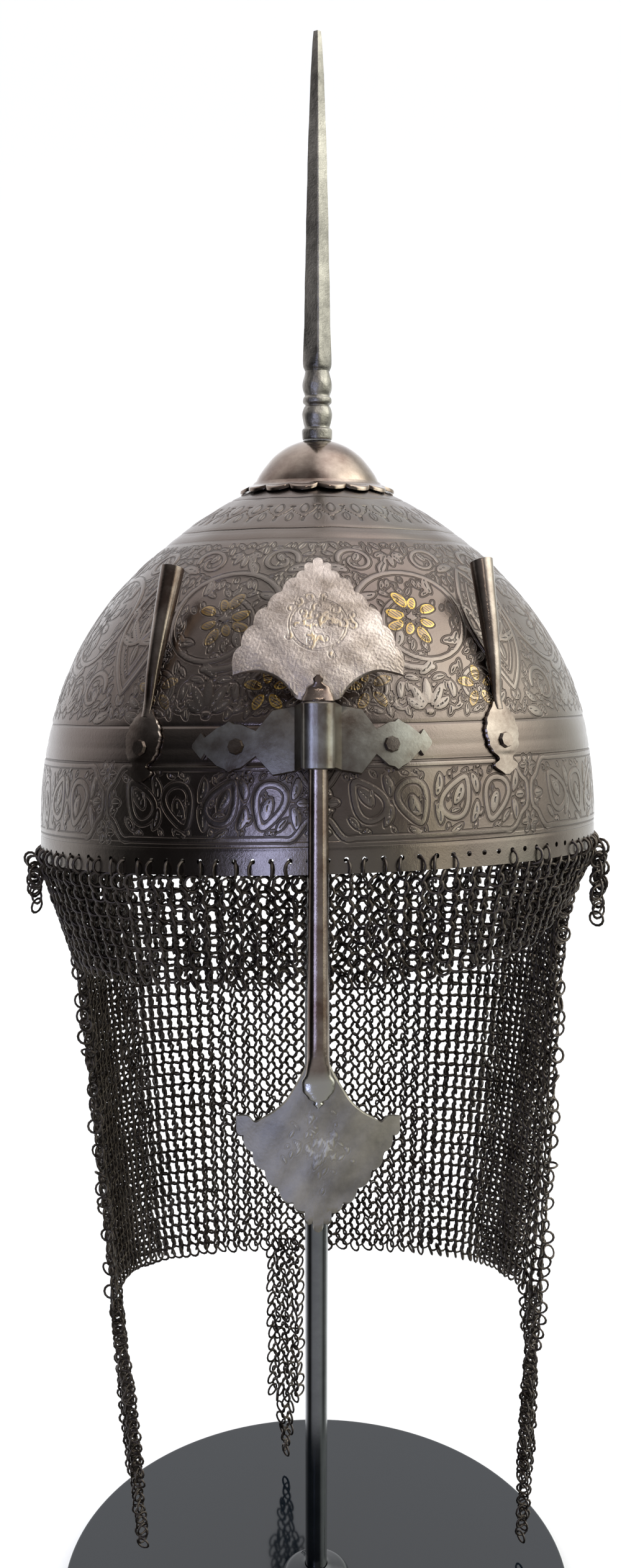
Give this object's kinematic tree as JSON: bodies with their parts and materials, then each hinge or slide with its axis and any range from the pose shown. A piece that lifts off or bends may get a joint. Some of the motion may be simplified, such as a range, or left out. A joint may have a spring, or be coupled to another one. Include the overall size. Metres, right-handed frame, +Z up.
{
  "type": "kulah khud helmet on a display stand",
  "caption": "Domed steel helmet with a square spike, plume tubes, a sliding nasal and a mail aventail with long points, leaning back on the pole and round base of a plain stand.",
  "frame": {"origin": "centre of the stand's round base, on its underside", "axes": "+Z up, -Y the helmet's front, +X to the right of someone facing the helmet"},
  "size_m": [0.225, 0.2729, 0.659],
  "materials": {
    "russet_steel": "dark russet steel, worn, with traces of gold damascening",
    "grey_steel": "worn bare grey steel",
    "mail_wire": "dark iron wire rings, lightly rusted",
    "black_steel": "gloss black lacquer"
  },
  "bodies": {
    "helmet_and_stand": {"bowl": "russet_steel", "boss": "russet_steel", "spike": "russet_steel", "plume_tube_left": "russet_steel", "plume_tube_right": "russet_steel", "nasal_bracket": "russet_steel", "bracket_rivet_left": "russet_steel", "bracket_rivet_right": "russet_steel", "plume_rivet_left": "russet_steel", "plume_rivet_right": "russet_steel", "mail_curtain": "mail_wire", "mail_fringe": "mail_wire", "stand_base": "black_steel", "stand_collar": "black_steel", "stand_pole": "black_steel", "stand_pad": "black_steel"},
    "nasal": {"nasal_bar": "russet_steel", "upper_palmette": "grey_steel", "lower_palmette": "grey_steel"}
  },
  "joints": [
    {"name": "nasal_slide", "type": "slide", "parent": "helmet_and_stand", "child": "nasal", "axis": [0, 0.3256, 0.9455], "range_m": [0, 0.096]}
  ]
}
